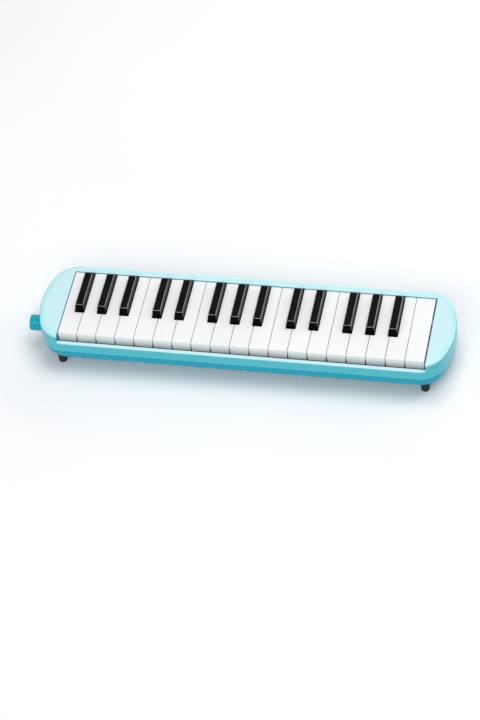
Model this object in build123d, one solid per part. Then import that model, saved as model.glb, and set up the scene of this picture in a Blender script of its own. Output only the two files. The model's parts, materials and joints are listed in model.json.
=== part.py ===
from build123d import *
import math
import os

# A 32-key melodica, F3 to C6, standing on its four rubber feet. All sizes are in millimetres.
# X runs along the keyboard towards the high notes, the player's side is -Y, and +Z is up.
# The origin is on the resting surface, under the middle of the whole instrument's box.

# ---- case
BODY_LENGTH = 427.0
BODY_WIDTH = 104.0
CORNER_RADIUS = 28.0
END_BOW = 16.5
CASE_TOP = 44.8
SEAM_Z = 25.5
CASE_BOTTOM = 5.0
WALL = 2.2
FLOOR = 2.4
TOP_FILLET = 3.0
CROWN_WIDTH = 6.0
CROWN_DROP = 0.7
HULL_INSET = 1.5
HULL_FILLET = 18.0
RIM_Z = 36.2
RIM_INNER_Y = -47.8
RIM_THICKNESS = 2.5
RIM_FILLET = 0.9
OPENING_REAR_Y = 42.5
OPENING_GAP_LEFT = 0.3
OPENING_GAP_RIGHT = 1.5
WELL_WALL = 2.0

# ---- mouthpiece socket
SOCKET_REACH = 9.4
SOCKET_Y = -15.6
SOCKET_RADIUS = 8.2
SOCKET_BORE_RADIUS = 6.2
SOCKET_BORE_LENGTH = 18.0
SOCKET_HOLE_DEPTH = 9.0
SOCKET_COLLAR = 8.0
SOCKET_PASSAGE_RADIUS = 4.0
SOCKET_INNER_RADIUS = 7.2
LEG_LENGTH = 10.0
LEG_HALF_WIDTH = 7.0
LEG_BOTTOM = 13.0
LEG_WALL = 1.4
SPOUT_HALF_WIDTH = 5.0
SPOUT_LAP = 1.6

# ---- keyboard
KEY_PITCH = 19.7
KEY_GAP = 0.5
WHITE_COUNT = 19
KEYBOARD_SHIFT = 0.65
KEY_TOP = 44.0
KEY_FRONT_Y = -44.0
KEY_REAR_Y = 42.1
KEY_PLATE = 2.5
KEY_SKIRT_Z = 34.0
KEY_LIP_Z = 33.0
KEY_LIP = 2.0
KEY_WALL = 1.3
KEY_FILLET = 0.45
KEY_DRAFT = 0.6
KEY_DRAFT_TOP = 42.5
BLACK_FRONT_Y = -12.7
BLACK_TOP_FRONT_Y = -10.6
BLACK_TOP_REAR_Y = 35.1
BLACK_REAR_Y = 41.7
BLACK_TOP = 52.0
BLACK_BASE_Z = 42.4
BLACK_BASE_WIDTH = 9.2
BLACK_TOP_WIDTH = 7.8
BLACK_STEM_WIDTH = 8.2
BLACK_WALL = 1.2
BLACK_FILLET = 0.5
BLACK_HOLLOW_Z = 48.0
SLOT_CLEARANCE = 0.5
NOTCH_CLEARANCE = 1.2
FIRST_NOTE = 5
FIRST_OCTAVE = 3
KEY_COUNT = 32
NOTES = ("c", "c_sharp", "d", "d_sharp", "e", "f", "f_sharp", "g", "g_sharp", "a", "a_sharp", "b")
BLACK_OFFSET = {"c_sharp": -1.9, "d_sharp": 1.5, "f_sharp": -3.6, "g_sharp": -0.2, "a_sharp": 3.2}

# ---- key action
PIVOT_Y = 14.0
PIVOT_Z = 37.5
ROD_RADIUS = 1.25
PIVOT_CLEARANCE = 0.05
HUB_HALF = 3.2
HUB_BOTTOM = 34.2
EAR_WINDOW_HALF = 5.2
EAR_THICKNESS = 1.8
END_EAR_THICKNESS = 1.4
EAR_HALF = 4.0
EAR_TOP = 40.2
EAR_GAPS = (0, 4, 7, 11, 14, 18, 19)
SEAT_Y = 0.8
SEAT_HALF = 1.1
PAD_Y = 30.75
PAD_LENGTH = 10.0
PAD_WIDTH = 6.8
PAD_THICKNESS = 2.3
PAD_GAP = 0.02
ARM_HALF_LENGTH = 3.5
ARM_HALF_WIDTH = 2.6

# ---- key frame and what stands on it
FRAME_BOTTOM = 22.0
FRAME_TOP = 25.0
FRAME_EDGE_Y = 43.5
FRAME_GAP = 0.05
TONE_HOLE_WIDTH = 4.2
TONE_HOLE_LENGTH = 7.5
CELL_WIDTH = 3.6
CELL_DEPTH = 1.5
GUIDE_Y = -38.0
GUIDE_TOP = 36.8
GUIDE_BLACK_Y = -6.0
GUIDE_BLACK_TOP = 38.0
GUIDE_CLEARANCE = 0.4
GUIDE_THICKNESS = 2.2
FRONT_BAR = (-40.4, -35.6, 26.6)
REAR_BAR = (-13.4, -4.4, 27.8)
TIE_WIDTH = 2.4
TIE_TOP = 26.2
TIE_GAPS = (0.5, 5.5, 9.5, 13.5, 18.5)
FRONT_FELT = (-43.4, -40.9, 28.8)
REAR_FELT = (-13.2, -9.0, 30.8)
SPRING_STRIP = (6.3, 9.6, 0.4)
SPRING_TIP_Y = 0.2
SPRING_TIP_Z = 34.1
SPRING_WIDTH = 3.4

# ---- reeds
REED_TIP_Y = 33.0
LONGEST_REED = 27.0
SHORTEST_REED = 12.0
REED_WIDTH = 2.2
REED_SLOT_WIDTH = 2.6
REED_THICKNESS = 0.25
REED_HEEL = 4.0
RIVET_RADIUS = 1.0
RIVET_HEIGHT = 0.5
REED_GASKET = 0.5
REED_PLATE = 1.4
REED_PLATE_FRONT_Y = -2.5
REED_PLATE_REAR_Y = 35.0
KEYS_PER_PLATE = 16

# ---- wind chamber
CHAMBER_FRONT_Y = -28.0
CHAMBER_REAR_Y = 41.6
CHAMBER_FLANGE = 3.8
CHAMBER_FLANGE_BOTTOM = 18.8
CHAMBER_BOTTOM = 12.8
CHAMBER_WALL = 1.8
CHAMBER_GASKET = 0.8
CHAMBER_SCREWS = 6

# ---- drain valve
DRAIN_X = 178.0
DRAIN_Y = -12.0
DRAIN_BUTTON_RADIUS = 6.0
DRAIN_BUTTON_BOTTOM = 2.2
DRAIN_FLANGE_RADIUS = 7.5
DRAIN_FLANGE = 1.2
DRAIN_STEM_RADIUS = 2.0
DRAIN_NECK_RADIUS = 1.4
DRAIN_PORT_RADIUS = 3.4
DRAIN_DISC_RADIUS = 5.0
DRAIN_DISC = 1.6
DRAIN_HEAD = 1.0
DRAIN_WIRE = 0.3
DRAIN_TURNS = 3
RUNNING_GAP = 0.25

# ---- fasteners and feet
BOSS_RADIUS = 3.5
SIDE_BOSS_RADIUS = 3.0
SCREW_RADIUS = 1.3
SCREW_HEAD_RADIUS = 2.3
SCREW_HEAD = 1.6
SCREW_ENGAGEMENT = 5.0
CORNER_SCREW_X = 198.0
CORNER_SCREW_Y = 34.0
CORNER_SEAT_Z = 14.0
SIDE_SCREW_X = 120.0
SIDE_SCREW_REAR_Y = 46.9
SIDE_SEAT_Z = 19.0
POST_X = 160.0
POST_Y = -35.6
POST_RADIUS = 3.5
SMALL_SCREW_RADIUS = 0.9
SMALL_HEAD_RADIUS = 1.6
SMALL_HEAD = 1.0
SMALL_SCREW_DEPTH = 2.0
FOOT_SPACING_X = 186.8
FOOT_Y = 40.4
FOOT_RADIUS = 4.25
FOOT_HEIGHT = 11.1
FOOT_BOSS_RADIUS = 5.8
FOOT_BOSS_TOP = 12.6

# ---- hand strap
RECESS_HALF_LENGTH = 112.0
RECESS_HALF_WIDTH = 24.0
RECESS_CEILING = 9.5
RECESS_CORNER = 9.0
STRAP_HALF_LENGTH = 104.0
STRAP_HALF_WIDTH = 15.0
STRAP_THICKNESS = 1.6
STRAP_SAG_Z = 2.4
STRAP_BEND = 40.0
ANCHOR_LENGTH = 16.0
ANCHOR_THICKNESS = 1.8
STRAP_SCREW_Y = 9.0

# ---- worked out
BODY_X = SOCKET_REACH / 2
BODY_LEFT = BODY_X - BODY_LENGTH / 2
KEYBOARD_X = BODY_X + KEYBOARD_SHIFT
KEYBOARD_LEFT = KEYBOARD_X - WHITE_COUNT * KEY_PITCH / 2
KEYBOARD_RIGHT = KEYBOARD_LEFT + WHITE_COUNT * KEY_PITCH
OPENING_LEFT = KEYBOARD_LEFT - OPENING_GAP_LEFT
OPENING_RIGHT = KEYBOARD_RIGHT + OPENING_GAP_RIGHT
FRAME_LEFT = OPENING_LEFT - WELL_WALL
FRAME_RIGHT = OPENING_RIGHT + WELL_WALL
REED_PLATE_TOP = FRAME_BOTTOM - REED_GASKET
REED_PLATE_BOTTOM = REED_PLATE_TOP - REED_PLATE
CHAMBER_FLOOR = CHAMBER_BOTTOM + CHAMBER_WALL
CHAMBER_TOP = FRAME_BOTTOM - CHAMBER_GASKET
SPOUT_BOTTOM = CHAMBER_FLOOR - 0.4
SPOUT_TOP = CHAMBER_FLANGE_BOTTOM + 0.6


def block(x0, x1, y0, y1, z0, z1):
    return Pos((x0 + x1) / 2, (y0 + y1) / 2, (z0 + z1) / 2) * Box(x1 - x0, y1 - y0, z1 - z0)


def post(x, y, z0, z1, radius):
    return Pos(x, y, (z0 + z1) / 2) * Cylinder(radius, z1 - z0)


def bar_x(x0, x1, y, z, radius):
    return Pos((x0 + x1) / 2, y, z) * Rot(0, 90, 0) * Cylinder(radius, x1 - x0)


def save(name, shape):
    """Write one sub-part; a list of loose solids becomes a compound."""
    if isinstance(shape, list):
        shape = Compound(children=shape)
    export_step(shape, f"parts/{name}.step")


# ---------------------------------------------------------------- keyboard layout
def gap_x(index):
    """The X of the gap on the left of a white key, counted from the left end."""
    return KEYBOARD_LEFT + index * KEY_PITCH


def lay_out_keys():
    """Every key from left to right, with its name, its colour and the X range of its stem."""
    keys = []
    whites = 0
    for step in range(FIRST_NOTE, FIRST_NOTE + KEY_COUNT):
        note = NOTES[step % len(NOTES)]
        octave = FIRST_OCTAVE + step // len(NOTES)
        key = {"name": f"key_{note[0]}{octave}{note[1:]}", "black": note in BLACK_OFFSET}
        if key["black"]:
            key["x"] = gap_x(whites) + BLACK_OFFSET[note]
        else:
            key["x0"] = gap_x(whites) + KEY_GAP / 2
            key["x1"] = gap_x(whites + 1) - KEY_GAP / 2
            whites += 1
        keys.append(key)
    slot_half = BLACK_BASE_WIDTH / 2 + SLOT_CLEARANCE
    for index, key in enumerate(keys):
        if key["black"]:
            continue
        left = keys[index - 1] if index > 0 else key
        right = keys[index + 1] if index + 1 < len(keys) else key
        key["neck0"] = left["x"] + slot_half if left["black"] else key["x0"]
        key["neck1"] = right["x"] - slot_half if right["black"] else key["x1"]
        key["x"] = (key["neck0"] + key["neck1"]) / 2
    return keys


KEYS = lay_out_keys()


def reed_length(index):
    """Reeds get shorter in equal ratios from the lowest note to the highest."""
    ratio = SHORTEST_REED / LONGEST_REED
    return LONGEST_REED * ratio ** (index / (KEY_COUNT - 1))


# ---------------------------------------------------------------- case
def plan_outline(inset):
    """The case seen from above: a rectangle with bowed ends and large round corners."""
    half = BODY_WIDTH / 2
    end = BODY_LENGTH / 2 - END_BOW
    edges = [
        ThreePointArc((end, -half), (end + END_BOW, 0), (end, half)),
        Line((end, half), (-end, half)),
        ThreePointArc((-end, half), (-end - END_BOW, 0), (-end, -half)),
        Line((-end, -half), (end, -half)),
    ]
    outline = make_face(edges)
    outline = fillet(outline.vertices(), CORNER_RADIUS)
    if inset:
        outline = offset(outline, amount=-inset)
    return Pos(BODY_X, 0, 0) * outline


def upper_solid(inset, top, radius):
    body = extrude(Pos(0, 0, SEAM_Z) * plan_outline(inset), top - SEAM_Z)
    return fillet(body.edges().group_by(Axis.Z)[-1], radius)


def crowned_solid():
    """The upper shell's outside: a flat top that slopes a little towards its rounded edge."""
    body = extrude(Pos(0, 0, SEAM_Z) * plan_outline(0), CASE_TOP - SEAM_Z)
    top = body.faces().sort_by(Axis.Z)[-1]
    body = chamfer(top.edges(), length=CROWN_WIDTH, length2=CROWN_DROP, reference=top)
    shoulder = CASE_TOP - CROWN_DROP
    rim = [edge for edge in body.edges() if abs(edge.center().Z - shoulder) < 0.01]
    return fillet(rim, TOP_FILLET)


def hull_solid(inset, bottom, radius):
    body = extrude(Pos(0, 0, bottom) * plan_outline(inset), SEAM_Z - bottom)
    return fillet(body.edges().group_by(Axis.Z)[0], radius)


def corner_screws():
    return [(BODY_X + sx * CORNER_SCREW_X, sy * CORNER_SCREW_Y) for sx in (-1, 1) for sy in (-1, 1)]


def rear_screws():
    return [(BODY_X + step * SIDE_SCREW_X, SIDE_SCREW_REAR_Y) for step in (-1, 0, 1)]


def frame_posts():
    return [(BODY_X + step * POST_X / 2, POST_Y) for step in (-2, -1, 0, 1, 2)]


def make_upper_case():
    outer = crowned_solid()
    case = outer - upper_solid(WALL, CASE_TOP - WALL - CROWN_DROP, TOP_FILLET - WALL)
    half = BODY_WIDTH / 2
    low = FRAME_TOP + FRAME_GAP
    well = block(FRAME_LEFT, FRAME_RIGHT, -half, OPENING_REAR_Y + WELL_WALL, low, CASE_TOP)
    well -= block(OPENING_LEFT, OPENING_RIGHT, -half, OPENING_REAR_Y, low, CASE_TOP)
    reach = FRAME_EDGE_Y + 0.2
    skin = outer + block(FRAME_LEFT, FRAME_RIGHT, -reach, reach, low, SEAM_Z)
    case += well & skin
    case += block(OPENING_LEFT, OPENING_RIGHT, -half + WALL, RIM_INNER_Y, RIM_Z - RIM_THICKNESS, RIM_Z)
    for x, y in corner_screws():
        case += post(x, y, SEAM_Z, CASE_TOP - WALL - CROWN_DROP / 2, BOSS_RADIUS)
    for x, y in rear_screws():
        case += post(x, y, SEAM_Z, CASE_TOP - WALL - CROWN_DROP / 2, SIDE_BOSS_RADIUS)
    case -= block(OPENING_LEFT, OPENING_RIGHT, RIM_INNER_Y, OPENING_REAR_Y, low, CASE_TOP + 1)
    case -= block(OPENING_LEFT, OPENING_RIGHT, -half - 1, RIM_INNER_Y, RIM_Z, CASE_TOP + 1)
    for x, y in corner_screws() + rear_screws():
        case -= post(x, y, SEAM_Z - 1, SEAM_Z + SCREW_ENGAGEMENT + 2, SCREW_RADIUS + 0.05)
    case -= bar_x(BODY_LEFT - 1, BODY_LEFT + SOCKET_HOLE_DEPTH, SOCKET_Y, SEAM_Z, SOCKET_RADIUS + 0.1)
    rim_edges = [
        edge for edge in case.edges().filter_by(Axis.X)
        if abs(edge.center().Y + half) < 0.01 and abs(edge.center().Z - RIM_Z) < 0.01
    ]
    return fillet(rim_edges, RIM_FILLET)


def recess(half_length, half_width, corner, z0, z1):
    plan = Pos(BODY_X, 0, z0) * RectangleRounded(2 * half_length, 2 * half_width, corner)
    return extrude(plan, z1 - z0)


def make_lower_case():
    outer = hull_solid(HULL_INSET, CASE_BOTTOM, HULL_FILLET)
    hollow = hull_solid(HULL_INSET + WALL, CASE_BOTTOM + FLOOR, HULL_FILLET - WALL)
    case = outer - hollow
    case += recess(RECESS_HALF_LENGTH + WALL, RECESS_HALF_WIDTH + WALL, RECESS_CORNER + WALL,
                   CASE_BOTTOM, RECESS_CEILING + WALL)
    for x, y in corner_screws():
        case += post(x, y, CASE_BOTTOM, SEAM_Z, BOSS_RADIUS) & outer
    for x, y in rear_screws():
        case += post(x, y, CASE_BOTTOM, SEAM_Z, SIDE_BOSS_RADIUS) & outer
    for x, y in frame_posts():
        case += post(x, y, CASE_BOTTOM, FRAME_BOTTOM - FRAME_GAP, POST_RADIUS) & outer
        rib = block(x - 1.2, x + 1.2, CHAMBER_REAR_Y + 0.4, BODY_WIDTH / 2,
                    CASE_BOTTOM, FRAME_BOTTOM - FRAME_GAP)
        case += rib & outer
    for x, y in foot_places():
        case += post(x, y, CASE_BOTTOM, FOOT_BOSS_TOP, FOOT_BOSS_RADIUS) & outer
    case -= recess(RECESS_HALF_LENGTH, RECESS_HALF_WIDTH, RECESS_CORNER, CASE_BOTTOM - 1, RECESS_CEILING)
    for x, y in foot_places():
        case -= post(x, y, 0, FOOT_HEIGHT, FOOT_RADIUS + 0.1)
    for x, y in corner_screws() + frame_posts():
        case -= post(x, y, 0, CORNER_SEAT_Z, SCREW_HEAD_RADIUS + 0.2)
        case -= post(x, y, 0, SEAM_Z + 1, SCREW_RADIUS + 0.1)
    for x, y in rear_screws():
        case -= post(x, y, 0, SIDE_SEAT_Z, SCREW_HEAD_RADIUS + 0.2)
        case -= post(x, y, 0, SEAM_Z + 1, SCREW_RADIUS + 0.1)
    case -= post(DRAIN_X, DRAIN_Y, 0, CASE_BOTTOM + 2 * FLOOR, DRAIN_BUTTON_RADIUS + RUNNING_GAP)
    for x, y in strap_screw_places():
        case -= post(x, y, RECESS_CEILING - 1, RECESS_CEILING + 1.6, SMALL_SCREW_RADIUS + 0.05)
    case -= bar_x(BODY_LEFT - 1, BODY_LEFT + SOCKET_HOLE_DEPTH, SOCKET_Y, SEAM_Z, SOCKET_RADIUS + 0.1)
    return case


# ---------------------------------------------------------------- mouthpiece socket
LEG_RIGHT = FRAME_LEFT - 2.8
LEG_LEFT = LEG_RIGHT - LEG_LENGTH


def make_socket():
    """A tube for the mouthpiece, whose inner end turns down to the wind chamber's spout."""
    mouth = BODY_LEFT - SOCKET_REACH
    body = bar_x(mouth, BODY_LEFT + SOCKET_COLLAR, SOCKET_Y, SEAM_Z, SOCKET_RADIUS)
    body = chamfer(body.edges().group_by(Axis.X)[0], 0.5)
    body += bar_x(BODY_LEFT + SOCKET_COLLAR, LEG_RIGHT, SOCKET_Y, SEAM_Z, SOCKET_INNER_RADIUS)
    body += block(LEG_LEFT, LEG_RIGHT, SOCKET_Y - LEG_HALF_WIDTH, SOCKET_Y + LEG_HALF_WIDTH,
                  LEG_BOTTOM, SEAM_Z)
    body -= bar_x(mouth - 1, mouth + SOCKET_BORE_LENGTH, SOCKET_Y, SEAM_Z, SOCKET_BORE_RADIUS)
    body -= bar_x(mouth, LEG_RIGHT - LEG_WALL, SOCKET_Y, SEAM_Z, SOCKET_PASSAGE_RADIUS)
    inner = LEG_HALF_WIDTH - LEG_WALL
    body -= block(LEG_LEFT + LEG_WALL, LEG_RIGHT - LEG_WALL, SOCKET_Y - inner, SOCKET_Y + inner,
                  LEG_BOTTOM + LEG_WALL, SEAM_Z)
    body -= block(LEG_RIGHT - 2 * LEG_WALL, LEG_RIGHT + 1, SOCKET_Y - SPOUT_HALF_WIDTH - 0.1,
                  SOCKET_Y + SPOUT_HALF_WIDTH + 0.1, SPOUT_BOTTOM - 0.1, SPOUT_TOP + 0.1)
    return body


def make_socket_seal():
    """A rubber ring round the spout, squeezed between the socket's leg and the chamber."""
    half = SPOUT_HALF_WIDTH + 1.2
    ring = block(LEG_RIGHT, LEG_RIGHT + 1.6, SOCKET_Y - half, SOCKET_Y + half, LEG_BOTTOM, SPOUT_TOP + 1)
    return ring - block(LEG_RIGHT - 1, LEG_RIGHT + 3, SOCKET_Y - SPOUT_HALF_WIDTH - 0.05,
                        SOCKET_Y + SPOUT_HALF_WIDTH + 0.05, SPOUT_BOTTOM - 0.05, SPOUT_TOP + 0.05)


# ---------------------------------------------------------------- keys
def pad_and_arm(x):
    """The arm under a key's tail and the soft pad that shuts the tone hole."""
    pad_top = FRAME_TOP + PAD_GAP + PAD_THICKNESS
    arm = block(x - ARM_HALF_WIDTH, x + ARM_HALF_WIDTH, PAD_Y - ARM_HALF_LENGTH,
                PAD_Y + ARM_HALF_LENGTH, pad_top, KEY_TOP - KEY_PLATE + 0.5)
    pad = block(x - PAD_WIDTH / 2, x + PAD_WIDTH / 2, PAD_Y - PAD_LENGTH / 2,
                PAD_Y + PAD_LENGTH / 2, FRAME_TOP + PAD_GAP, pad_top)
    return arm, pad


def draft_wedge(x, side, rear_y):
    """What the moulding draft takes off one side of a white key's wide front part."""
    low = KEY_LIP_Z - 1
    out = x - side
    profile = [(x, KEY_DRAFT_TOP), (x + side * KEY_DRAFT, low), (out, low), (out, KEY_DRAFT_TOP)]
    face = make_face(Polyline(*profile, close=True))
    return extrude(Plane(origin=(0, KEY_FRONT_Y - 1, 0), x_dir=(1, 0, 0), z_dir=(0, -1, 0)) * face,
                   -(rear_y - KEY_FRONT_Y + 2))


def make_white_key(key):
    x0, x1, neck0, neck1 = key["x0"], key["x1"], key["neck0"], key["neck1"]
    notch_y = BLACK_FRONT_Y - NOTCH_CLEARANCE
    under = KEY_TOP - KEY_PLATE
    body = block(x0, x1, KEY_FRONT_Y, notch_y, KEY_SKIRT_Z, KEY_TOP)
    body += block(neck0, neck1, notch_y - 1, KEY_REAR_Y, KEY_SKIRT_Z, KEY_TOP)
    body = fillet(body.edges().group_by(Axis.Z)[-1], KEY_FILLET)
    body -= block(x0 + KEY_WALL, x1 - KEY_WALL, KEY_FRONT_Y + KEY_LIP, notch_y - KEY_WALL,
                  KEY_SKIRT_Z - 1, under)
    body -= block(neck0 + KEY_WALL, neck1 - KEY_WALL, notch_y - 2 * KEY_WALL, KEY_REAR_Y - KEY_WALL,
                  KEY_SKIRT_Z - 1, under)
    body += block(x0, x1, KEY_FRONT_Y, KEY_FRONT_Y + KEY_LIP, KEY_LIP_Z, KEY_SKIRT_Z + 1)
    body -= draft_wedge(x0, 1, notch_y)
    body -= draft_wedge(x1, -1, notch_y)
    body -= block(neck0, neck1, PIVOT_Y - EAR_WINDOW_HALF, PIVOT_Y + EAR_WINDOW_HALF,
                  KEY_SKIRT_Z - 1, under)
    return finish_key(body, key["x"], neck0 + KEY_WALL, neck1 - KEY_WALL)


def black_cap(x, y0, y1, width, z):
    return Pos(x, (y0 + y1) / 2, z) * Rectangle(width, y1 - y0)


def make_black_key(key):
    x = key["x"]
    base = black_cap(x, BLACK_FRONT_Y, BLACK_REAR_Y, BLACK_BASE_WIDTH, BLACK_BASE_Z)
    top = black_cap(x, BLACK_TOP_FRONT_Y, BLACK_TOP_REAR_Y, BLACK_TOP_WIDTH, BLACK_TOP)
    body = loft([base, top])
    body = fillet(body.edges().group_by(Axis.Z)[-1], BLACK_FILLET)
    half = BLACK_STEM_WIDTH / 2
    inner = half - BLACK_WALL
    body += block(x - half, x + half, BLACK_FRONT_Y + 0.7, BLACK_REAR_Y - 1, KEY_SKIRT_Z, BLACK_BASE_Z)
    body -= block(x - inner, x + inner, BLACK_FRONT_Y + 2, BLACK_REAR_Y - 2.5, KEY_SKIRT_Z - 1,
                  KEY_TOP - KEY_PLATE)
    body -= block(x - inner + 1, x + inner - 1, BLACK_TOP_FRONT_Y + 2, BLACK_TOP_REAR_Y - 2,
                  KEY_SKIRT_Z - 1, BLACK_HOLLOW_Z)
    return finish_key(body, x, x - inner, x + inner)


def finish_key(body, x, inner0, inner1):
    """Add the pivot hub, the spring seat, the arm and the pad, and bore the hub."""
    under = KEY_TOP - KEY_PLATE + 0.5
    body += block(inner0, inner1, PIVOT_Y - HUB_HALF, PIVOT_Y + HUB_HALF, HUB_BOTTOM, under)
    body += block(inner0, inner1, SEAT_Y - SEAT_HALF, SEAT_Y + SEAT_HALF, HUB_BOTTOM, under)
    arm, pad = pad_and_arm(x)
    body += arm
    body -= bar_x(inner0 - 5, inner1 + 5, PIVOT_Y, PIVOT_Z, ROD_RADIUS + PIVOT_CLEARANCE)
    return [body.solid(), pad]


# ---------------------------------------------------------------- key frame
def ear_range(gap):
    """The X range of the pivot ear that stands under a gap between two white keys."""
    if gap == 0:
        return KEYBOARD_LEFT - 0.3, KEYBOARD_LEFT - 0.3 + END_EAR_THICKNESS
    if gap == WHITE_COUNT:
        return KEYBOARD_RIGHT - 1.0, KEYBOARD_RIGHT - 1.0 + END_EAR_THICKNESS
    return gap_x(gap) - EAR_THICKNESS / 2, gap_x(gap) + EAR_THICKNESS / 2


def chamber_screw_places():
    span = FRAME_RIGHT - FRAME_LEFT - 16
    xs = [FRAME_LEFT + 8 + span * i / (CHAMBER_SCREWS - 1) for i in range(CHAMBER_SCREWS)]
    half = CHAMBER_FLANGE / 2
    return [(x, y) for y in (CHAMBER_FRONT_Y + half, CHAMBER_REAR_Y - half) for x in xs]


def plate_edges(plate):
    """The X range of the low (0) or high (1) reed plate."""
    middle = (KEYS[KEYS_PER_PLATE - 1]["x"] + KEYS[KEYS_PER_PLATE]["x"]) / 2
    if plate == 0:
        return FRAME_LEFT + 4.2, middle - 0.3
    return middle + 0.3, FRAME_RIGHT - 4.2


def reed_screw_places():
    places = []
    for plate in (0, 1):
        x0, x1 = plate_edges(plate)
        places += [(x0 + 4 + (x1 - x0 - 8) * i / 3, REED_PLATE_FRONT_Y + 2) for i in range(4)]
    return places


def make_key_frame():
    frame = block(FRAME_LEFT, FRAME_RIGHT, -FRAME_EDGE_Y, FRAME_EDGE_Y, FRAME_BOTTOM, FRAME_TOP)
    for gap in EAR_GAPS:
        x0, x1 = ear_range(gap)
        frame += block(x0, x1, PIVOT_Y - EAR_HALF, PIVOT_Y + EAR_HALF, FRAME_TOP - 0.5, EAR_TOP)
    for index, key in enumerate(KEYS):
        x = key["x"]
        frame -= block(x - TONE_HOLE_WIDTH / 2, x + TONE_HOLE_WIDTH / 2, PAD_Y - TONE_HOLE_LENGTH / 2,
                       PAD_Y + TONE_HOLE_LENGTH / 2, FRAME_BOTTOM - 1, FRAME_TOP + 1)
        frame -= block(x - CELL_WIDTH / 2, x + CELL_WIDTH / 2, REED_TIP_Y - reed_length(index),
                       REED_TIP_Y + 1, FRAME_BOTTOM - 1, FRAME_BOTTOM + CELL_DEPTH)
    frame -= bar_x(FRAME_LEFT, FRAME_RIGHT, PIVOT_Y, PIVOT_Z, ROD_RADIUS + 0.02)
    for x, y in chamber_screw_places() + reed_screw_places():
        frame -= post(x, y, FRAME_BOTTOM - 1, FRAME_BOTTOM + SMALL_SCREW_DEPTH + 0.3,
                      SMALL_SCREW_RADIUS + 0.03)
    for x, y in frame_posts():
        frame -= post(x, y, FRAME_BOTTOM - 1, FRAME_BOTTOM + SMALL_SCREW_DEPTH + 0.3, SCREW_RADIUS + 0.03)
    return frame


def make_key_rod():
    return bar_x(ear_range(0)[0] + 0.1, ear_range(WHITE_COUNT)[1] - 0.1, PIVOT_Y, PIVOT_Z, ROD_RADIUS)


def make_guide_comb():
    """Two bars with one post in the hollow of each key, tied together across the frame."""
    comb = None
    for y0, y1, top in (FRONT_BAR, REAR_BAR):
        bar = block(KEYBOARD_LEFT + 1, KEYBOARD_RIGHT - 1, y0, y1, FRAME_TOP, top)
        comb = bar if comb is None else comb + bar
    for gap in TIE_GAPS:
        comb += block(gap_x(gap) - TIE_WIDTH / 2, gap_x(gap) + TIE_WIDTH / 2,
                      FRONT_BAR[1] - 1, REAR_BAR[0] + 1, FRAME_TOP, TIE_TOP)
    for key in KEYS:
        if key["black"]:
            half = BLACK_STEM_WIDTH / 2 - BLACK_WALL - GUIDE_CLEARANCE
            x0, x1 = key["x"] - half, key["x"] + half
            y, top = GUIDE_BLACK_Y, GUIDE_BLACK_TOP
        else:
            x0 = key["x0"] + KEY_WALL + GUIDE_CLEARANCE
            x1 = key["x1"] - KEY_WALL - GUIDE_CLEARANCE
            y, top = GUIDE_Y, GUIDE_TOP
        comb += block(x0, x1, y - GUIDE_THICKNESS / 2, y + GUIDE_THICKNESS / 2, FRAME_TOP + 1, top)
    return comb


def make_key_felt():
    strips = []
    for (y0, y1, top), bottom in ((FRONT_FELT, FRAME_TOP), (REAR_FELT, REAR_BAR[2])):
        strips.append(block(KEYBOARD_LEFT + 1, KEYBOARD_RIGHT - 1, y0, y1, bottom, top))
    return strips


def make_key_springs():
    """A steel strip with one finger bent up under each key's spring seat."""
    y0, y1, thick = SPRING_STRIP
    z0 = FRAME_TOP
    springs = block(KEYBOARD_LEFT + 1.2, KEYBOARD_RIGHT - 1.2, y0, y1, z0, z0 + thick)
    tip_z = SPRING_TIP_Z
    profile = [
        (y0 + 0.4, z0), (y0 + 0.4, z0 + thick), (SPRING_TIP_Y + 1.6, tip_z - thick / 2),
        (SPRING_TIP_Y, tip_z), (SPRING_TIP_Y, tip_z - thick), (SPRING_TIP_Y + 1.2, tip_z - 2 * thick),
        (y0 - 0.2, z0),
    ]
    for key in KEYS:
        plane = Plane(origin=(key["x"] - SPRING_WIDTH / 2, 0, 0), x_dir=(0, 1, 0), z_dir=(1, 0, 0))
        springs += extrude(plane * make_face(Polyline(*profile, close=True)), SPRING_WIDTH)
    return springs


# ---------------------------------------------------------------- reeds and wind chamber
def plate_keys(plate):
    return range(plate * KEYS_PER_PLATE, (plate + 1) * KEYS_PER_PLATE)


def make_reed_gasket():
    x0, x1 = plate_edges(0)[0], plate_edges(1)[1]
    sheet = block(x0, x1, REED_PLATE_FRONT_Y, REED_PLATE_REAR_Y, REED_PLATE_TOP, FRAME_BOTTOM)
    for index, key in enumerate(KEYS):
        sheet -= block(key["x"] - 2, key["x"] + 2, REED_TIP_Y - reed_length(index) - 0.5,
                       REED_TIP_Y + 1.2, REED_PLATE_TOP - 1, FRAME_BOTTOM + 1)
    for x, y in reed_screw_places():
        sheet -= post(x, y, REED_PLATE_TOP - 1, FRAME_BOTTOM + 1, SMALL_SCREW_RADIUS + 0.1)
    return sheet


def make_reed_plate(plate):
    x0, x1 = plate_edges(plate)
    sheet = block(x0, x1, REED_PLATE_FRONT_Y, REED_PLATE_REAR_Y, REED_PLATE_BOTTOM, REED_PLATE_TOP)
    for index in plate_keys(plate):
        x = KEYS[index]["x"]
        sheet -= block(x - REED_SLOT_WIDTH / 2, x + REED_SLOT_WIDTH / 2,
                       REED_TIP_Y - reed_length(index), REED_TIP_Y + 0.3,
                       REED_PLATE_BOTTOM - 1, REED_PLATE_TOP + 1)
    for x, y in reed_screw_places():
        sheet -= post(x, y, REED_PLATE_BOTTOM - 1, REED_PLATE_TOP + 1, SMALL_SCREW_RADIUS + 0.1)
    return sheet


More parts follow.
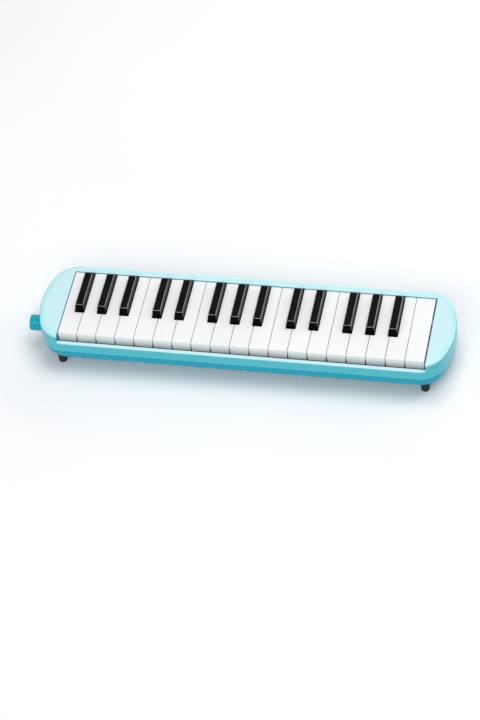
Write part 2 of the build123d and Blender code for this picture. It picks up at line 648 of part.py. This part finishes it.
def make_reeds(plate):
    """Sixteen springy tongues, each held to the plate by the rivet at its heel."""
    reeds = []
    for index in plate_keys(plate):
        x = KEYS[index]["x"]
        heel_y = REED_TIP_Y - reed_length(index) - REED_HEEL
        reed = block(x - REED_WIDTH / 2, x + REED_WIDTH / 2, heel_y, REED_TIP_Y,
                     REED_PLATE_BOTTOM - REED_THICKNESS, REED_PLATE_BOTTOM)
        reed += post(x, heel_y + REED_HEEL / 2, REED_PLATE_BOTTOM - REED_THICKNESS - RIVET_HEIGHT,
                     REED_PLATE_BOTTOM - REED_THICKNESS, RIVET_RADIUS)
        reeds.append(reed.solid())
    return reeds


def make_chamber_cover():
    x0, x1 = FRAME_LEFT, FRAME_RIGHT
    wall_x0, wall_x1 = x0 + 0.8, x1 - 0.8
    wall_y0, wall_y1 = CHAMBER_FRONT_Y + CHAMBER_FLANGE, CHAMBER_REAR_Y - CHAMBER_FLANGE
    cover = block(x0, x1, CHAMBER_FRONT_Y, CHAMBER_REAR_Y, CHAMBER_FLANGE_BOTTOM, CHAMBER_TOP)
    cover += block(wall_x0, wall_x1, wall_y0, wall_y1, CHAMBER_BOTTOM, CHAMBER_FLANGE_BOTTOM + 0.1)
    spout_x = LEG_RIGHT - SPOUT_LAP
    half = SPOUT_HALF_WIDTH
    cover += block(spout_x, wall_x0 + 1, SOCKET_Y - half, SOCKET_Y + half, SPOUT_BOTTOM, SPOUT_TOP)
    cover -= block(wall_x0 + CHAMBER_WALL, wall_x1 - CHAMBER_WALL, wall_y0 + CHAMBER_WALL,
                   wall_y1 - CHAMBER_WALL, CHAMBER_FLOOR, CHAMBER_TOP + 1)
    cover -= block(spout_x - 1, wall_x0 + 3, SOCKET_Y - half + 1, SOCKET_Y + half - 1,
                   SPOUT_BOTTOM + 1, SPOUT_TOP - 1)
    for x, y in chamber_screw_places():
        cover -= post(x, y, CHAMBER_FLANGE_BOTTOM - 1, CHAMBER_TOP + 1, SMALL_SCREW_RADIUS + 0.1)
    cover -= post(DRAIN_X, DRAIN_Y, CHAMBER_BOTTOM - 1, CHAMBER_FLOOR + 1, DRAIN_PORT_RADIUS)
    return cover


def make_chamber_gasket():
    edge = CHAMBER_FLANGE + CHAMBER_WALL
    ring = block(FRAME_LEFT, FRAME_RIGHT, CHAMBER_FRONT_Y, CHAMBER_REAR_Y, CHAMBER_TOP, FRAME_BOTTOM)
    ring -= block(FRAME_LEFT + 2.6, FRAME_RIGHT - 2.6, CHAMBER_FRONT_Y + edge, CHAMBER_REAR_Y - edge,
                  CHAMBER_TOP - 1, FRAME_BOTTOM + 1)
    for x, y in chamber_screw_places():
        ring -= post(x, y, CHAMBER_TOP - 1, FRAME_BOTTOM + 1, SMALL_SCREW_RADIUS + 0.1)
    return ring


# ---------------------------------------------------------------- fasteners
def screw(x, y, seat_z, tip_z, radius, head_radius, head_height):
    """A pan-head screw driven upwards, with a cross cut in its head."""
    body = post(x, y, seat_z - head_height, tip_z, radius)
    body += post(x, y, seat_z - head_height, seat_z, head_radius)
    arm, width, low = 0.6 * head_radius, 0.2 * head_radius, seat_z - head_height
    depth = 0.6 * head_height
    body -= block(x - arm, x + arm, y - width / 2, y + width / 2, low - 1, low + depth)
    body -= block(x - width / 2, x + width / 2, y - arm, y + arm, low - 1, low + depth)
    return body.solid()


def make_case_screws():
    tip = SEAM_Z + SCREW_ENGAGEMENT
    screws = []
    for x, y in corner_screws():
        screws.append(screw(x, y, CORNER_SEAT_Z, tip, SCREW_RADIUS, SCREW_HEAD_RADIUS, SCREW_HEAD))
    for x, y in frame_posts():
        screws.append(screw(x, y, CORNER_SEAT_Z, FRAME_BOTTOM + SMALL_SCREW_DEPTH, SCREW_RADIUS,
                            SCREW_HEAD_RADIUS, SCREW_HEAD))
    for x, y in rear_screws():
        screws.append(screw(x, y, SIDE_SEAT_Z, tip, SCREW_RADIUS, SCREW_HEAD_RADIUS, SCREW_HEAD))
    return screws


def make_chassis_screws():
    tip = FRAME_BOTTOM + SMALL_SCREW_DEPTH
    seats = [(x, y, CHAMBER_FLANGE_BOTTOM) for x, y in chamber_screw_places()]
    seats += [(x, y, REED_PLATE_BOTTOM) for x, y in reed_screw_places()]
    return [screw(x, y, z, tip, SMALL_SCREW_RADIUS, SMALL_HEAD_RADIUS, SMALL_HEAD) for x, y, z in seats]


# ---------------------------------------------------------------- drain valve
def make_drain_button():
    floor_top = CASE_BOTTOM + FLOOR
    flange_top = floor_top + DRAIN_FLANGE
    disc_bottom = CHAMBER_FLOOR
    disc_top = disc_bottom + DRAIN_DISC
    button = post(DRAIN_X, DRAIN_Y, DRAIN_BUTTON_BOTTOM, floor_top, DRAIN_BUTTON_RADIUS)
    button = fillet(button.edges().group_by(Axis.Z)[0], 1.0)
    button += post(DRAIN_X, DRAIN_Y, floor_top, flange_top, DRAIN_FLANGE_RADIUS)
    button += post(DRAIN_X, DRAIN_Y, flange_top, disc_bottom, DRAIN_STEM_RADIUS)
    button += post(DRAIN_X, DRAIN_Y, disc_bottom, disc_top, DRAIN_NECK_RADIUS)
    button += post(DRAIN_X, DRAIN_Y, disc_top, disc_top + DRAIN_HEAD, 2 * DRAIN_NECK_RADIUS)
    return button


def make_drain_valve():
    disc = post(DRAIN_X, DRAIN_Y, CHAMBER_FLOOR, CHAMBER_FLOOR + DRAIN_DISC, DRAIN_DISC_RADIUS)
    return disc - post(DRAIN_X, DRAIN_Y, CHAMBER_FLOOR - 1, CHAMBER_FLOOR + 3, DRAIN_NECK_RADIUS + 0.02)


def make_drain_spring():
    bottom = CASE_BOTTOM + FLOOR + DRAIN_FLANGE + DRAIN_WIRE
    height = CHAMBER_BOTTOM - DRAIN_WIRE - bottom
    path = Helix(pitch=height / DRAIN_TURNS, height=height, radius=DRAIN_STEM_RADIUS + 1.6)
    section = Plane(origin=path @ 0, z_dir=path % 0) * Circle(DRAIN_WIRE)
    return Pos(DRAIN_X, DRAIN_Y, bottom) * sweep(section, path=path, is_frenet=True)


# ---------------------------------------------------------------- feet and hand strap
def foot_places():
    xs = (BODY_X - FOOT_SPACING_X, BODY_X + FOOT_SPACING_X)
    return [(x, y) for y in (-FOOT_Y, FOOT_Y) for x in xs]


def make_foot(x, y):
    """A rubber plug pressed into a cup in the case's underside."""
    foot = post(x, y, 0, FOOT_HEIGHT, FOOT_RADIUS)
    return fillet(foot.edges().group_by(Axis.Z)[0], 0.8)


def strap_screw_places():
    reach = STRAP_HALF_LENGTH - ANCHOR_LENGTH / 2
    return [(BODY_X + sx * reach, sy * STRAP_SCREW_Y) for sx in (-1, 1) for sy in (-1, 1)]


def make_hand_strap():
    """A flat band clamped at both ends, whose middle hangs a little below the recess."""
    end = STRAP_HALF_LENGTH
    flat = end - ANCHOR_LENGTH - 1
    low = STRAP_SAG_Z + STRAP_THICKNESS
    high = RECESS_CEILING
    path = [(-end, high), (-flat, high), (-flat + STRAP_BEND, low), (flat - STRAP_BEND, low),
            (flat, high), (end, high)]
    under = [(x, z - STRAP_THICKNESS) for x, z in reversed(path)]
    plane = Plane(origin=(BODY_X, STRAP_HALF_WIDTH, 0), x_dir=(1, 0, 0), z_dir=(0, -1, 0))
    band = extrude(plane * make_face(Polyline(*path, *under, close=True)), 2 * STRAP_HALF_WIDTH)
    for x, y in strap_screw_places():
        band -= post(x, y, 0, high + 1, SMALL_SCREW_RADIUS + 0.1)
    return band


def make_strap_anchors():
    top = RECESS_CEILING - STRAP_THICKNESS
    anchors = []
    for side in (-1, 1):
        inner = BODY_X + side * (STRAP_HALF_LENGTH - ANCHOR_LENGTH)
        outer = BODY_X + side * STRAP_HALF_LENGTH
        plate = block(min(inner, outer), max(inner, outer), -STRAP_HALF_WIDTH - 1, STRAP_HALF_WIDTH + 1,
                      top - ANCHOR_THICKNESS, top)
        plate = fillet(plate.edges().filter_by(Axis.Z), 3.0)
        plate = fillet(plate.edges().group_by(Axis.Z)[0], 0.6)
        for x, y in strap_screw_places():
            plate -= post(x, y, 0, top + 1, SMALL_SCREW_RADIUS + 0.1)
        anchors.append(plate.solid())
    return anchors


def make_strap_screws():
    seat = RECESS_CEILING - STRAP_THICKNESS - ANCHOR_THICKNESS
    tip = RECESS_CEILING + 1.4
    return [screw(x, y, seat, tip, SMALL_SCREW_RADIUS, SMALL_HEAD_RADIUS, SMALL_HEAD)
            for x, y in strap_screw_places()]


def main():
    os.makedirs("parts", exist_ok=True)
    save("upper_case", make_upper_case())
    save("lower_case", make_lower_case())
    save("mouthpiece_socket", make_socket())
    save("socket_seal", make_socket_seal())
    for key in KEYS:
        save(key["name"], make_black_key(key) if key["black"] else make_white_key(key))
    save("key_frame", make_key_frame())
    save("key_rod", make_key_rod())
    save("key_guide_comb", make_guide_comb())
    save("key_felt", make_key_felt())
    save("key_springs", make_key_springs())
    save("reed_gasket", make_reed_gasket())
    for plate, name in enumerate(("low", "high")):
        save(f"reed_plate_{name}", make_reed_plate(plate))
        save(f"reeds_{name}", make_reeds(plate))
    save("chamber_cover", make_chamber_cover())
    save("chamber_gasket", make_chamber_gasket())
    save("chassis_screws", make_chassis_screws())
    save("drain_button", make_drain_button())
    save("drain_valve", make_drain_valve())
    save("drain_spring", make_drain_spring())
    for (x, y), name in zip(foot_places(), ("front_left", "front_right", "rear_left", "rear_right")):
        save(f"foot_{name}", make_foot(x, y))
    save("case_screws", make_case_screws())
    save("hand_strap", make_hand_strap())
    save("strap_anchors", make_strap_anchors())
    save("strap_screws", make_strap_screws())


main()
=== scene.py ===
import json
import math

import bmesh
import bpy
from mathutils import Euler, Matrix, Vector


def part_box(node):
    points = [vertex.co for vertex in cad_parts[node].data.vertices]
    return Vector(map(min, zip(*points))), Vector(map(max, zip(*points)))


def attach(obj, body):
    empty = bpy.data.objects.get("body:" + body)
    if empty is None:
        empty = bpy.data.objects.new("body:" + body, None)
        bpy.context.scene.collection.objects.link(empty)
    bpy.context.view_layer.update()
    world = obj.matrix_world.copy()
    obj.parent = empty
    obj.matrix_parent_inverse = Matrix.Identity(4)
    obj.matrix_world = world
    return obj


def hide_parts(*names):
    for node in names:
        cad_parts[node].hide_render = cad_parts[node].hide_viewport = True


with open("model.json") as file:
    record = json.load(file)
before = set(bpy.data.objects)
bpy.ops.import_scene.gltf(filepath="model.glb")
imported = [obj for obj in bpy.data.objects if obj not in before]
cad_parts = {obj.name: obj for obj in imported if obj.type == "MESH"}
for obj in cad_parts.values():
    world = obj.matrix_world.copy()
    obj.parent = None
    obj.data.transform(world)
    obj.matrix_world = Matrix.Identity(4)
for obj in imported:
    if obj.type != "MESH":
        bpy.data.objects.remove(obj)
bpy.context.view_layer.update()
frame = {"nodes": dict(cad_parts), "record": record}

# Lengths are in metres. X runs along the keyboard, the player's side is -Y and +Z is up.
MM = 0.001


# ---------------------------------------------------------------- node helpers
NOISE_RANGE = (0.3, 0.7)  # nearly all the values of a noise texture lie between these


class Shader:
    """A material with a Principled BSDF, and short ways to add the nodes that feed it."""

    def __init__(self, name, rough, **constants):
        self.mat = bpy.data.materials.new(name)
        self.mat.use_nodes = True
        self.tree = self.mat.node_tree
        self.bsdf = self.tree.nodes["Principled BSDF"]
        self.bsdf.inputs["Roughness"].default_value = rough
        for key, value in constants.items():
            self.bsdf.inputs[key.replace("_", " ")].default_value = value
        coordinates = self.new("ShaderNodeTexCoord")
        self.place = coordinates.outputs["Object"]
        self.normal = coordinates.outputs["Normal"]

    def new(self, kind, **settings):
        node = self.tree.nodes.new(kind)
        for key, value in settings.items():
            setattr(node, key, value)
        return node

    def link(self, out, into):
        self.tree.links.new(out, into)

    def feed(self, socket, value):
        """Sets a socket to a number or a colour, or links it to another node's output."""
        if isinstance(value, (int, float)):
            socket.default_value = value
        elif isinstance(value, tuple):
            socket.default_value = (*value, 1.0)
        else:
            self.link(value, socket)

    def scaled(self, scale):
        node = self.new("ShaderNodeMapping")
        node.inputs["Scale"].default_value = scale
        self.link(self.place, node.inputs["Vector"])
        return node.outputs["Vector"]

    def noise(self, scale, detail, rough=0.5, vector=None):
        node = self.new("ShaderNodeTexNoise")
        node.inputs["Scale"].default_value = scale
        node.inputs["Detail"].default_value = detail
        node.inputs["Roughness"].default_value = rough
        self.link(vector or self.place, node.inputs["Vector"])
        return node.outputs["Fac"]

    def span(self, value, low, high, out_low=0.0, out_high=1.0, smooth=False):
        """Stretches the values from low to high so that they run from out_low to out_high."""
        node = self.new("ShaderNodeMapRange")
        node.clamp = True
        if smooth:
            node.interpolation_type = "SMOOTHSTEP"
        for key, number in (("From Min", low), ("From Max", high), ("To Min", out_low), ("To Max", out_high)):
            node.inputs[key].default_value = number
        self.link(value, node.inputs["Value"])
        return node.outputs["Result"]

    def patches(self, scale, detail, low=0.0, high=1.0):
        """Soft patches of noise that run from low to high."""
        return self.span(self.noise(scale, detail), *NOISE_RANGE, low, high)

    def math(self, operation, *values):
        node = self.new("ShaderNodeMath", operation=operation)
        for socket, value in zip(node.inputs, values):
            self.feed(socket, value)
        return node.outputs["Value"]

    def wave(self, turns):
        """A sine of a count of whole turns."""
        return self.math("SINE", self.math("MULTIPLY", turns, math.tau))

    def mix(self, factor, a, b):
        """A colour between a and b. The Mix node's sockets 6, 7 and 2 are its colours A, B and Result."""
        node = self.new("ShaderNodeMix", data_type="RGBA")
        for index, value in ((0, factor), (6, a), (7, b)):
            self.feed(node.inputs[index], value)
        return node.outputs[2]

    def axis(self, vector, index):
        node = self.new("ShaderNodeSeparateXYZ")
        self.link(vector, node.inputs["Vector"])
        return node.outputs[index]

    def upward(self):
        """How far a face looks up: 1 on a level top, 0 on an upright wall."""
        return self.axis(self.normal, 2)

    def bump(self, height, distance, strength):
        node = self.new("ShaderNodeBump")
        node.inputs["Strength"].default_value = strength
        node.inputs["Distance"].default_value = distance
        self.link(height, node.inputs["Height"])
        self.link(node.outputs["Normal"], self.bsdf.inputs["Normal"])

    def colour(self, socket):
        self.link(socket, self.bsdf.inputs["Base Color"])

    def roughness(self, socket):
        self.link(socket, self.bsdf.inputs["Roughness"])


def shade(colour, factor):
    return tuple(min(1.0, c * factor) for c in colour)


# ---------------------------------------------------------------- materials
# The limits of Shader.upward between which one tint gives way to the next: painted shade on walls and flanks,
# painted highlight on the black keys' rounded edges.
WALL_TO_BAND = (0.25, 0.9)
BAND_TO_TOP = (0.994, 0.9985)
FLANK_TO_TOP = (0.2, 0.6)
FLANK_TO_EDGE = (0.6, 0.7)
EDGE_TO_TOP = (0.94, 0.99)


def moulded_gloss(name, side, band=None, top=None, rough=0.2, specular=0.4):
    """Glossy moulded plastic: slight colour drift, patchy polish and a faint orange peel.

    With band and top given, the walls and the sloping edge carry painted shade: tints darker than the flat
    top, which has the plastic's own colour.
    """
    m = Shader(name, rough, Specular_IOR_Level=specular)
    base = side
    # Painted shade: the wall and sloping-edge tints stand in for how light falls; the top tint is the
    # plastic's own colour.
    if top:
        up = m.upward()
        base = m.mix(m.span(up, *WALL_TO_BAND, smooth=True), side, band)
        base = m.mix(m.span(up, *BAND_TO_TOP), base, top)
    m.colour(m.mix(m.patches(9.0, 2.0, 0.0, 0.05), base, shade(side, 0.8)))
    m.roughness(m.patches(60.0, 4.0, rough * 0.94, rough * 1.08))
    m.bump(m.noise(600.0, 2.0), 0.01 * MM, 0.3)
    return m.mat


def key_white():
    """Glossy white plastic with a thin clear skin."""
    m = Shader("key_white", 0.2, Specular_IOR_Level=0.45, Coat_Weight=0.1, Coat_Roughness=0.05)
    m.colour(m.mix(m.patches(24.0, 2.0), (0.81, 0.81, 0.805), (0.85, 0.85, 0.847)))
    m.roughness(m.patches(140.0, 4.0, 0.15, 0.26))
    m.bump(m.noise(700.0, 2.0), 0.008 * MM, 0.5)
    return m.mat


def key_black():
    """Glossy black plastic with painted shade on the flanks, which are darker, and a painted highlight on the
    rounded edges, a paler grey that varies in patches.
    """
    m = Shader("key_black", 0.2, Specular_IOR_Level=0.045)
    up = m.upward()
    top = m.mix(m.patches(40.0, 3.0), (0.005, 0.005, 0.005), (0.008, 0.008, 0.0075))
    # Painted shade: the flanks get a darker black than the tops.
    body = m.mix(m.span(up, *FLANK_TO_TOP), (0.001, 0.001, 0.001), top)
    # Painted highlight: the rounded edges between flank and top get a pale grey.
    edge = m.math("MULTIPLY", m.span(up, *FLANK_TO_EDGE), m.span(up, *EDGE_TO_TOP, 1.0, 0.0))
    edge_painted_highlight = m.math("MULTIPLY", edge, m.patches(90.0, 3.0, 0.6, 1.0))
    m.colour(m.mix(edge_painted_highlight, body, (0.62, 0.60, 0.57)))
    m.roughness(m.patches(160.0, 5.0, 0.16, 0.26))
    m.bump(m.noise(800.0, 2.0), 0.008 * MM, 0.5)
    return m.mat


def moulded_matte(name, colour, rough=0.6):
    """Plain moulded plastic with a fine spark-eroded grain."""
    m = Shader(name, rough, Specular_IOR_Level=0.4)
    m.colour(m.mix(m.patches(35.0, 3.0), shade(colour, 0.85), shade(colour, 1.12)))
    m.roughness(m.patches(400.0, 3.0, rough * 0.85, rough * 1.15))
    m.bump(m.noise(2600.0, 3.0), 0.03 * MM, 0.5)
    return m.mat


def rubber(name, colour=(0.012, 0.012, 0.013)):
    """Dull rubber with a dusty mottle."""
    m = Shader(name, 0.7, Specular_IOR_Level=0.35)
    m.colour(m.mix(m.patches(120.0, 4.0), shade(colour, 0.8), shade(colour, 1.9)))
    m.roughness(m.patches(500.0, 3.0, 0.6, 0.85))
    m.bump(m.noise(1800.0, 4.0), 0.05 * MM, 0.6)
    return m.mat


ALONG_X = (1.0, 60.0, 60.0)
ALONG_Y = (60.0, 1.0, 60.0)


def metal(name, colour, rough, grain=ALONG_X):
    """Drawn or ground metal: the grain runs along one axis."""
    m = Shader(name, rough, Metallic=1.0)
    lines = m.noise(60.0, 4.0, 0.6, m.scaled(grain))
    m.colour(m.mix(m.span(lines, *NOISE_RANGE), shade(colour, 0.82), shade(colour, 1.08)))
    m.roughness(m.span(lines, *NOISE_RANGE, rough * 0.75, rough * 1.4))
    m.bump(lines, 0.01 * MM, 0.5)
    return m.mat


def felt():
    """Dark red wool felt."""
    m = Shader("felt", 0.95, Specular_IOR_Level=0.15, Sheen_Weight=0.4, Sheen_Roughness=0.5)
    fibres = m.noise(1500.0, 6.0, 0.7)
    m.colour(m.mix(m.span(fibres, *NOISE_RANGE), (0.16, 0.006, 0.010), (0.38, 0.02, 0.03)))
    m.bump(fibres, 0.3 * MM, 0.8)
    return m.mat


YARNS_PER_METRE = 700.0
CHEVRONS_PER_METRE = 200.0
RIBS_PER_METRE = 900.0


def webbing():
    """Black polyamide webbing: ribs along it and a chevron of yarns across them."""
    m = Shader("strap_webbing", 0.75, Specular_IOR_Level=0.3, Sheen_Weight=0.25, Sheen_Roughness=0.4)
    x, y = (m.axis(m.place, i) for i in (0, 1))
    zigzag = m.math("FRACT", m.math("MULTIPLY", y, CHEVRONS_PER_METRE))
    fold = m.math("ABSOLUTE", m.math("SUBTRACT", zigzag, 0.5))
    twill = m.wave(m.math("ADD", m.math("MULTIPLY", x, YARNS_PER_METRE), fold))
    rib = m.wave(m.math("MULTIPLY", y, RIBS_PER_METRE))
    yarn = m.math("MULTIPLY", m.span(twill, -1.0, 1.0), m.span(rib, -1.0, 1.0, 0.4, 1.0))
    fuzz = m.noise(2500.0, 4.0)
    height = m.math("ADD", yarn, m.math("MULTIPLY", fuzz, 0.35))
    m.colour(m.mix(m.span(height, 0.1, 1.1), (0.004, 0.004, 0.005), (0.035, 0.035, 0.04)))
    m.roughness(m.span(fuzz, *NOISE_RANGE, 0.65, 0.9))
    m.bump(height, 0.25 * MM, 0.9)
    return m.mat


PLIES_PER_METRE = 1432.4


def thread():
    """Grey sewing thread, twisted from plies."""
    m = Shader("strap_thread", 0.6, Specular_IOR_Level=0.4, Sheen_Weight=0.3)
    twist = m.wave(m.math("MULTIPLY", m.axis(m.place, 0), PLIES_PER_METRE))
    m.colour(m.mix(m.span(twist, -1.0, 1.0), (0.05, 0.05, 0.055), (0.16, 0.16, 0.17)))
    m.bump(twist, 0.1 * MM, 0.6)
    return m.mat


def floor_paper():
    """White backdrop paper."""
    m = Shader("floor_paper", 0.85, Specular_IOR_Level=0.2)
    m.colour(m.mix(m.patches(3.0, 3.0), (0.86, 0.87, 0.875), (0.90, 0.905, 0.91)))
    m.bump(m.noise(220.0, 4.0), 0.1 * MM, 0.15)
    return m.mat


# Case tints: the top one is the pale plastic's own colour; the band and side ones are painted shade on the
# sloping edge and the walls.
CYAN_TOP = (0.56, 0.79, 0.83)
CYAN_EDGE_PAINTED_SHADE = (0.47, 0.80, 0.82)
CYAN_WALL_PAINTED_SHADE = (0.065, 0.49, 0.575)
TEAL = (0.005, 0.36, 0.49)

MATERIALS = {
    "case_light": moulded_gloss("case_light", CYAN_WALL_PAINTED_SHADE, CYAN_EDGE_PAINTED_SHADE, CYAN_TOP),
    "case_teal": moulded_gloss("case_teal", TEAL, rough=0.26, specular=0.18),
    "key_white": key_white(),
    "key_black": key_black(),
    "inner_plastic": moulded_matte("inner_plastic", (0.05, 0.055, 0.06)),
    "drain_plastic": moulded_gloss("drain_plastic", (0.72, 0.76, 0.76), rough=0.25),
    "frame_aluminium": metal("frame_aluminium", (0.78, 0.79, 0.80), 0.35),
    "steel": metal("steel", (0.62, 0.62, 0.64), 0.3),
    "spring_steel": metal("spring_steel", (0.55, 0.55, 0.57), 0.22),
    "reed_plate": metal("reed_plate", (0.74, 0.75, 0.76), 0.3, ALONG_Y),
    "reed_brass": metal("reed_brass", (0.80, 0.58, 0.26), 0.25, ALONG_Y),
    "felt": felt(),
    "gasket": rubber("gasket", (0.02, 0.02, 0.022)),
    "seal_rubber": rubber("seal_rubber"),
    "foot_rubber": rubber("foot_rubber"),
    "strap_fabric": webbing(),
}

for part in frame["record"]["subparts"]:
    data = frame["nodes"][part["node"]].data
    data.materials.clear()
    data.materials.append(MATERIALS[part["material_slot"]])


# ---------------------------------------------------------------- objects
def placed(name, data):
    """A new object in the scene."""
    item = bpy.data.objects.new(name, data)
    bpy.context.scene.collection.objects.link(item)
    return item


def tubes(name, tube_list, material):
    """One smooth mesh of closed tubes: each is a row of equal rings of points, with a face over each end."""
    work = bmesh.new()
    for tube in tube_list:
        rings = [[work.verts.new(point) for point in ring] for ring in tube]
        sides = len(rings[0])
        for ring, after in zip(rings, rings[1:]):
            for i in range(sides):
                j = (i + 1) % sides
                work.faces.new((ring[i], ring[j], after[j], after[i]))
        work.faces.new(rings[0])
        work.faces.new(rings[-1])
    bmesh.ops.recalc_face_normals(work, faces=work.faces)
    mesh = bpy.data.meshes.new(name)
    work.to_mesh(mesh)
    work.free()
    for polygon in mesh.polygons:
        polygon.use_smooth = True
    mesh.materials.append(material)
    return placed(name, mesh)


def angles_round(count):
    """Evenly spaced angles once round a circle."""
    return [math.tau * k / count for k in range(count)]


# ---------------------------------------------------------------- hand strap
STRAP_LOW, STRAP_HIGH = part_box("hand_strap")
STRAP_MID_X = (STRAP_LOW.x + STRAP_HIGH.x) / 2
STRAP_HALF = (STRAP_HIGH.x - STRAP_LOW.x) / 2
STRAP_EDGE = STRAP_HIGH.y
STRAP_THICK = 1.5 * MM
STRAP_CLAMPED = 17.0 * MM
STRAP_FREE = STRAP_HALF - STRAP_CLAMPED
STRAP_CUP = 0.35 * MM
STRAP_STEPS = 160
STRAP_RING_POINTS = 28
SAG_POWER = 1.5
# Powers below 1 square off the oval section of the strap.
EDGE_POWER = 0.35
FACE_POWER = 0.8


def off_middle(x):
    """0 in the middle of the strap, 1 from where the anchors clamp it."""
    return min(1.0, abs(x - STRAP_MID_X) / STRAP_FREE)


def strap_height(x):
    """Height of the strap's middle layer: flat under the anchors, slack between them."""
    top = STRAP_HIGH.z - STRAP_THICK / 2
    sag = STRAP_HIGH.z - STRAP_LOW.z - STRAP_THICK
    return top - sag * (1 - off_middle(x) ** 2) ** SAG_POWER


def signed_power(value, power):
    return math.copysign(abs(value) ** power, value)


def strap_ring(x):
    """A flat oval across the strap, with rounded edges and a slight cup that fades out at the anchors."""
    middle = strap_height(x)
    cup = STRAP_CUP * min(1.0, 4 * (1 - off_middle(x)))
    ring = []
    for angle in angles_round(STRAP_RING_POINTS):
        across = signed_power(math.cos(angle), EDGE_POWER)
        deep = signed_power(math.sin(angle), FACE_POWER) * STRAP_THICK / 2
        ring.append((x, across * STRAP_EDGE, middle + deep + cup * across ** 2))
    return ring


strap_places = [STRAP_LOW.x + 2 * STRAP_HALF * i / STRAP_STEPS for i in range(STRAP_STEPS + 1)]
strap = tubes("strap_band", [[strap_ring(x) for x in strap_places]], MATERIALS["strap_fabric"])
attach(strap, "case")
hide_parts("hand_strap")

# ---------------------------------------------------------------- strap stitches
STITCH_HALF = 1.1 * MM
STITCH_RADIUS = 0.28 * MM
STITCH_PROUD = 0.06 * MM
STITCH_SINK = 0.4 * MM
STITCH_TIP = 0.05  # keeps the end rings of a stitch from closing to a point
STITCH_STEPS = 8
STITCH_SIDES = 8
STITCH_PITCH = 3.0 * MM
STITCHES_IN_ROW = 6
SEWN_FROM = STRAP_HALF - 20.0 * MM
OUTER_ROW = STRAP_EDGE - 2.5 * MM
INNER_ROW = STRAP_EDGE / 3


def stitch(x, y):
    """One thread stitch lying along the strap's underside, sunk into it at both its ends."""
    angles = angles_round(STITCH_SIDES)
    rings = []
    for i in range(STITCH_STEPS + 1):
        t = -1 + 2 * i / STITCH_STEPS
        along = x + STITCH_HALF * t
        underside = strap_height(along) - STRAP_THICK / 2
        z = underside - STITCH_PROUD + STITCH_SINK * t ** 4
        radius = STITCH_RADIUS * math.sqrt(max(STITCH_TIP, 1 - t ** 4))
        rings.append([(along, y + radius * math.cos(a), z + radius * math.sin(a)) for a in angles])
    return rings


stitch_list = [
    stitch(STRAP_MID_X + side * (SEWN_FROM - STITCH_PITCH * i), y)
    for side in (-1, 1)
    for y in (OUTER_ROW, INNER_ROW, -INNER_ROW, -OUTER_ROW)
    for i in range(STITCHES_IN_ROW)
]
sewn = tubes("strap_stitches", stitch_list, thread())
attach(sewn, "case")

# ---------------------------------------------------------------- stage
FLOOR_HALF = 4.0

floor_mesh = bpy.data.meshes.new("floor")
floor_corners = [(x * FLOOR_HALF, y * FLOOR_HALF, 0) for x, y in ((-1, -1), (1, -1), (1, 1), (-1, 1))]
floor_mesh.from_pydata(floor_corners, [], [(0, 1, 2, 3)])
floor_mesh.materials.append(floor_paper())
placed("floor", floor_mesh)


def area_light(name, location, size, power):
    """A rectangular light that looks at the origin."""
    lamp = bpy.data.lights.new(name, "AREA")
    lamp.shape = "RECTANGLE"
    lamp.size, lamp.size_y = size
    lamp.energy = power
    item = placed(name, lamp)
    item.location = location
    item.rotation_euler = (-Vector(location)).to_track_quat("-Z", "Y").to_euler()


area_light("key_light", (0.25, 0.30, 1.7), (1.5, 1.0), 17.5)
area_light("rear_light", (0.0, 1.9, 0.7), (1.6, 0.5), 8.0)
area_light("side_light", (1.5, 1.1, 0.9), (0.9, 0.8), 6.0)
area_light("front_fill", (-0.2, -1.7, 1.3), (1.6, 0.8), 19.0)

world = bpy.data.worlds.new("studio")
world.use_nodes = True
background = world.node_tree.nodes["Background"]
background.inputs["Color"].default_value = (0.95, 0.97, 1.0, 1.0)
background.inputs["Strength"].default_value = 0.35
bpy.context.scene.world = world
bpy.context.scene.view_settings.view_transform = "Standard"

# ---------------------------------------------------------------- camera
CAMERA_PLACE = Vector((534.504, -1926.589, 2119.546)) * MM
CAMERA_DEGREES = (42.81679, 4.78334, 10.56195)  # turns about X, Y and Z

camera_data = bpy.data.cameras.new("camera")
camera_data.lens = 142.72
camera_data.sensor_width = 36.0
camera_data.clip_end = 20.0
camera = placed("camera", camera_data)
camera_turn = Euler([math.radians(angle) for angle in CAMERA_DEGREES])
camera.matrix_world = Matrix.LocRotScale(CAMERA_PLACE, camera_turn, None)
bpy.context.scene.camera = camera
